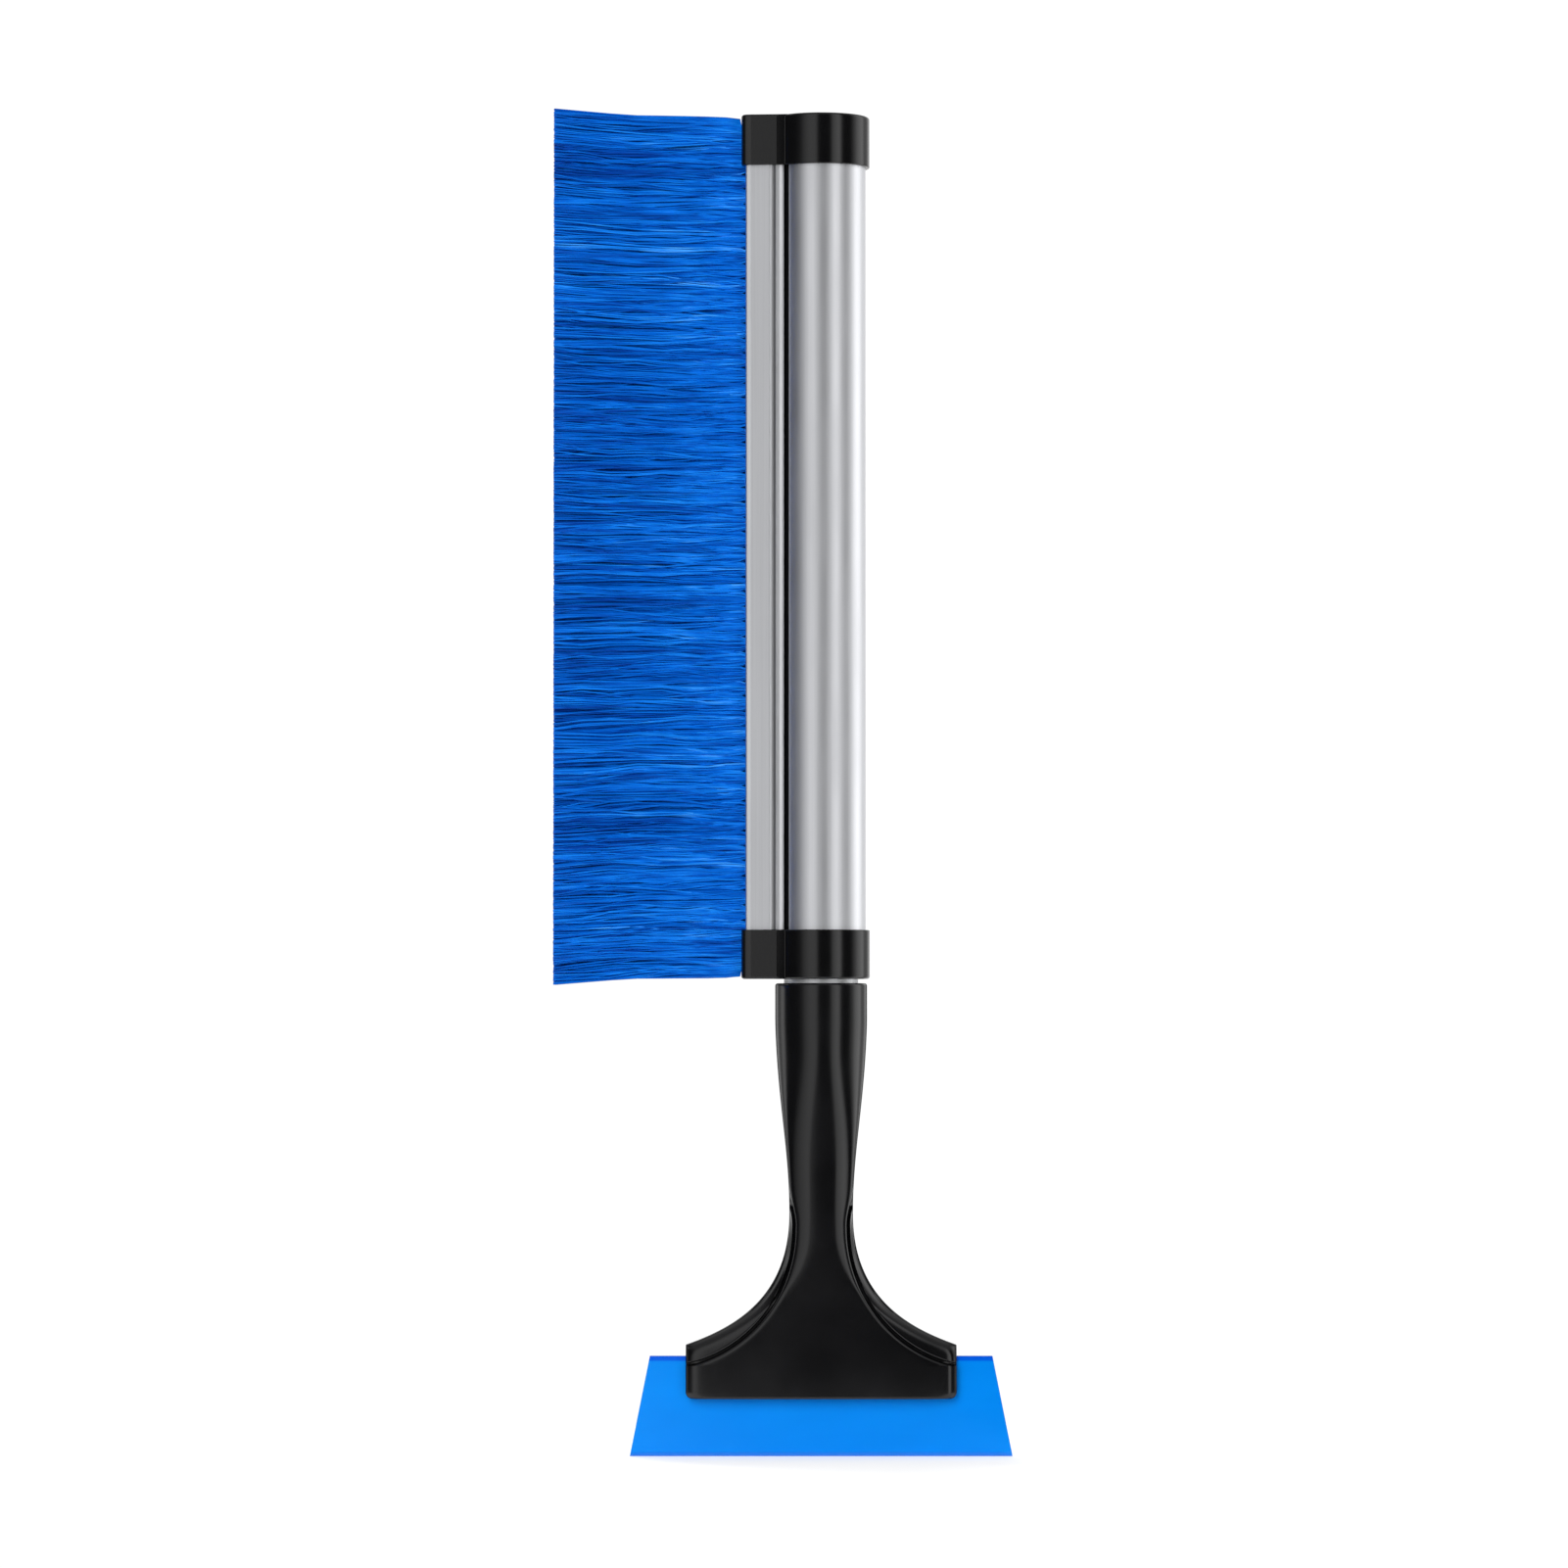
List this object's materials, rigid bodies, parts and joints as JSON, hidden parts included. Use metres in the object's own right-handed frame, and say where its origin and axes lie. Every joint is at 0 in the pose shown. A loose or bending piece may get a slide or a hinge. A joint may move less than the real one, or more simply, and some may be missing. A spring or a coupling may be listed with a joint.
{
  "type": "snow brush scraper",
  "caption": "Telescopic snow brush: a long bristle strip in an aluminium extrusion with end caps, on a twist-lock tube with a waisted handle that ends in a wide scraper blade.",
  "frame": {"origin": "middle of the scraping edge of the blade, on the axis of the telescope tube", "axes": "+Z along the tube from the blade's edge to the top cap, +X away from the bristles, +Y out of the back of the scraper head"},
  "size_m": [0.1533, 0.0326, 0.45],
  "materials": {
    "handle_black": "satin",
    "blade_blue": "satin",
    "screw_steel": "satin",
    "insert_brass": "satin",
    "tube_aluminium": "satin",
    "plug_plastic": "matte",
    "bush_plastic": "satin",
    "cam_plastic": "matte",
    "extrusion_aluminium": "satin",
    "cap_black": "satin",
    "strip_black": "matte",
    "bristle_blue": "satin"
  },
  "bodies": {
    "scraper_handle": {"scraper_handle": "handle_black", "blade_clamp": "handle_black", "scraper_blade": "blade_blue", "clamp_screws": "screw_steel", "threaded_inserts": "insert_brass", "inner_tube": "tube_aluminium", "tube_screws": "screw_steel", "lock_plug": "plug_plastic", "cam_retainer": "screw_steel", "cam_screw": "screw_steel"},
    "glide_ring": {"glide_ring": "bush_plastic"},
    "lock_cam": {"lock_cam": "cam_plastic"},
    "brush_body": {"body_extrusion": "extrusion_aluminium", "top_end_cap": "cap_black", "bottom_end_cap": "cap_black", "guide_bush": "bush_plastic", "bristle_strip": "strip_black", "tuft_anchors": "insert_brass", "bristles": "bristle_blue", "top_cap_screws": "screw_steel", "bottom_cap_screws": "screw_steel"}
  },
  "joints": [
    {"name": "brush_turn", "type": "hinge", "parent": "scraper_handle", "child": "glide_ring", "pos_m": [0, 0, 0.425], "axis": [0, 0, 1], "range_deg": [0, 90]},
    {"name": "brush_extend", "type": "slide", "parent": "glide_ring", "child": "brush_body", "axis": [0, 0, 1], "range_m": [0, 0.245]},
    {"name": "lock_cam_turn", "type": "hinge", "parent": "scraper_handle", "child": "lock_cam", "pos_m": [0.00062, 0, 0.436], "axis": [0, 0, 1], "range_deg": [0, 90]}
  ],
  "couplings": [
    {"joint": "lock_cam_turn", "follows": "brush_turn", "ratio": 1}
  ]
}
